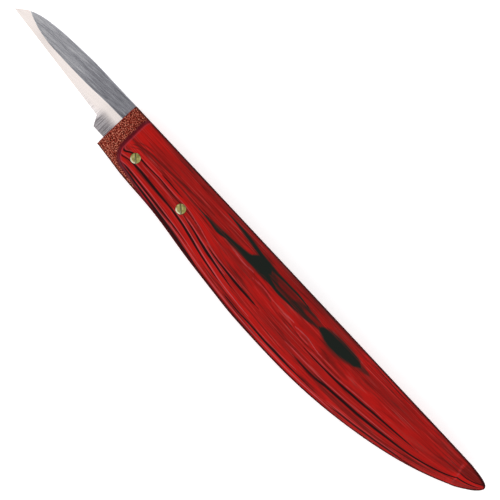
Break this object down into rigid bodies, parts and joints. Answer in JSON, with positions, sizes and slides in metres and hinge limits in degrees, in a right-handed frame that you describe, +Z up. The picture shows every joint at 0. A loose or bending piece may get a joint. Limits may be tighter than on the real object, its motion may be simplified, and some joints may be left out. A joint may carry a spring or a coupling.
{
  "type": "chip carving knife",
  "caption": "Fixed-blade chip carving knife with a short bevelled steel blade and a long laminated-wood handle held by slotted brass screws.",
  "frame": {"origin": "below the middle of the knife, on the surface it lies on, with the knife lying flat on its right side", "axes": "+X along the knife towards the blade's tip, +Y across the blade towards the cutting edge, +Z up, square to the blade's flat sides"},
  "size_m": [0.1906, 0.021, 0.0143],
  "materials": {
    "blade_steel": "ground satin",
    "handle_wood": "dyed, laminated and varnished",
    "filler_wood": "dyed, laminated and varnished",
    "screw_brass": "dressed flush, satin"
  },
  "bodies": {
    "root": {"blade": "blade_steel", "scale_left": "handle_wood", "scale_right": "handle_wood", "core_spacer": "filler_wood", "screw_front": "screw_brass", "screw_rear": "screw_brass", "nut_front": "screw_brass", "nut_rear": "screw_brass"}
  },
  "joints": []
}
